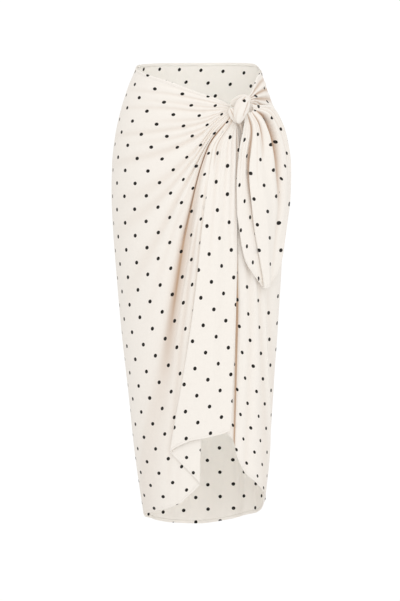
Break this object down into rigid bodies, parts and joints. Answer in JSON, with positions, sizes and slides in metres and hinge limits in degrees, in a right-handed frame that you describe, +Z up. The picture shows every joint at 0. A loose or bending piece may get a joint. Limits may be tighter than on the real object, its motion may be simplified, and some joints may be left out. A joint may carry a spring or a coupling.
{
  "type": "wrap skirt",
  "caption": "Wrap skirt in its worn form, gathered into a knot at the hip, with a falling tie end, a deep front pleat and a curved, slanting hem.",
  "frame": {"origin": "middle of the waist opening, level with the back's top edge", "axes": "+Z up along the worn skirt, the front with its pleat faces -Y, the knot is on the +X side of the front"},
  "size_m": [0.36, 0.258, 0.9331],
  "materials": {
    "printed_cloth": "soft plain weave, cream with dark dots"
  },
  "bodies": {
    "root": {"back_panel": "printed_cloth", "over_wrap": "printed_cloth", "under_wrap": "printed_cloth", "tie_tail": "printed_cloth", "knot_strap": "printed_cloth", "knot_lobe": "printed_cloth", "knot_loop": "printed_cloth", "knot_tip": "printed_cloth"}
  },
  "joints": []
}
